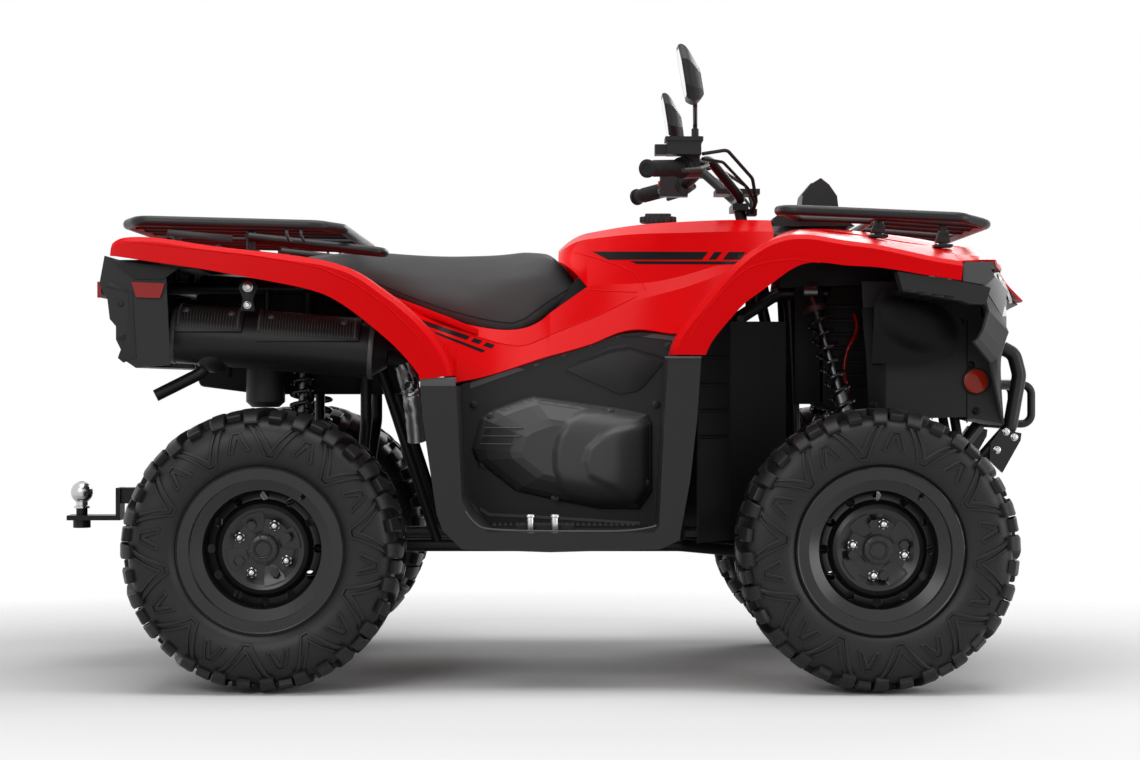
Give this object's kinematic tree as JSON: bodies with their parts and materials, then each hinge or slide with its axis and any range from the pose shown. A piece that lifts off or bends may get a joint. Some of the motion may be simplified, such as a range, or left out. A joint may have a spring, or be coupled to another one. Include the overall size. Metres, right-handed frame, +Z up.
{
  "type": "quad bike",
  "caption": "Utility quad bike with steered front wheels, free-turning wheels, straddle seat, tube racks front and rear, foot wells, bumper and rear tow ball.",
  "frame": {"origin": "on the ground, below the middle of the vehicle's length and width", "axes": "+X forward, +Y to the rider's left, +Z up"},
  "size_m": [2.193, 1.08, 1.3604],
  "materials": {
    "red_panels": "gloss",
    "black_moulding": "satin",
    "frame_black": "satin",
    "seat_cover": "satin",
    "engine_alloy": "satin",
    "exhaust_steel": "satin",
    "cast_knuckle": "matte",
    "rim_black": "gloss",
    "tyre_rubber": "matte",
    "damper_steel": "satin",
    "spring_paint": "gloss",
    "grip_rubber": "matte",
    "headlamp_lens": "gloss",
    "tail_lens": "gloss",
    "grey_cap": "satin"
  },
  "bodies": {
    "chassis": {"air_canister": "black_moulding", "corner_caps": "grey_cap", "dampers": "damper_steel", "engine": "engine_alloy", "exhaust": "exhaust_steel", "final_drives": "engine_alloy", "foot_pegs": "black_moulding", "footwell_left": "black_moulding", "footwell_right": "black_moulding", "frame": "frame_black", "front_arms": "frame_black", "front_body": "red_panels", "front_bumper": "frame_black", "front_liners": "black_moulding", "front_rack": "frame_black", "fuel_cap": "black_moulding", "half_shafts": "cast_knuckle", "headlamps": "headlamp_lens", "instrument_pod": "black_moulding", "nose_fascia": "black_moulding", "rear_arms": "frame_black", "rear_body": "red_panels", "rear_fascia": "black_moulding", "rear_knuckles": "cast_knuckle", "rear_rack": "frame_black", "seat": "seat_cover", "side_covers": "black_moulding", "side_panels": "black_moulding", "springs": "spring_paint", "tail_lamps": "tail_lens", "tank_cover": "red_panels", "tow_hitch": "frame_black"},
    "steering": {"steering_stem": "frame_black", "handlebar": "frame_black", "grips": "grip_rubber", "control_housings": "black_moulding", "control_cables": "grip_rubber", "mirrors": "black_moulding"},
    "knuckle_right": {"knuckle_front_right": "cast_knuckle"},
    "knuckle_left": {"knuckle_front_left": "cast_knuckle"},
    "tie_rod_right": {"tie_rod_right": "cast_knuckle"},
    "tie_rod_left": {"tie_rod_left": "cast_knuckle"},
    "wheel_front_right": {"tyre_front_right": "tyre_rubber", "rim_front_right": "rim_black"},
    "wheel_front_left": {"tyre_front_left": "tyre_rubber", "rim_front_left": "rim_black"},
    "wheel_rear_right": {"tyre_rear_right": "tyre_rubber", "rim_rear_right": "rim_black"},
    "wheel_rear_left": {"tyre_rear_left": "tyre_rubber", "rim_rear_left": "rim_black"}
  },
  "joints": [
    {"name": "handlebar_steer", "type": "hinge", "parent": "chassis", "child": "steering", "pos_m": [0.48554, 0, 0.85], "axis": [-0.2267, 0, 0.974], "range_deg": [-35, 35]},
    {"name": "kingpin_right", "type": "hinge", "parent": "chassis", "child": "knuckle_right", "pos_m": [0.697, -0.345, 0.298], "axis": [0, 0, 1], "range_deg": [-35, 35]},
    {"name": "tie_rod_turn_right", "type": "hinge", "parent": "steering", "child": "tie_rod_right", "pos_m": [0.52128, -0.028, 0.34345], "axis": [-0.2267, 0, 0.974], "range_deg": [-35, 35]},
    {"name": "wheel_front_spin_right", "type": "hinge", "parent": "knuckle_right", "child": "wheel_front_right", "pos_m": [0.697, -0.44, 0.298], "axis": [0, 1, 0], "continuous": true},
    {"name": "wheel_rear_spin_right", "type": "hinge", "parent": "chassis", "child": "wheel_rear_right", "pos_m": [-0.593, -0.415, 0.298], "axis": [0, 1, 0], "continuous": true},
    {"name": "kingpin_left", "type": "hinge", "parent": "chassis", "child": "knuckle_left", "pos_m": [0.697, 0.345, 0.298], "axis": [0, 0, 1], "range_deg": [-35, 35]},
    {"name": "tie_rod_turn_left", "type": "hinge", "parent": "steering", "child": "tie_rod_left", "pos_m": [0.52128, 0.028, 0.34345], "axis": [-0.2267, 0, 0.974], "range_deg": [-35, 35]},
    {"name": "wheel_front_spin_left", "type": "hinge", "parent": "knuckle_left", "child": "wheel_front_left", "pos_m": [0.697, 0.44, 0.298], "axis": [0, 1, 0], "continuous": true},
    {"name": "wheel_rear_spin_left", "type": "hinge", "parent": "chassis", "child": "wheel_rear_left", "pos_m": [-0.593, 0.415, 0.298], "axis": [0, 1, 0], "continuous": true}
  ],
  "couplings": [
    {"joint": "kingpin_right", "follows": "handlebar_steer", "ratio": 1},
    {"joint": "tie_rod_turn_right", "follows": "handlebar_steer", "ratio": -1},
    {"joint": "kingpin_left", "follows": "handlebar_steer", "ratio": 1},
    {"joint": "tie_rod_turn_left", "follows": "handlebar_steer", "ratio": -1}
  ]
}
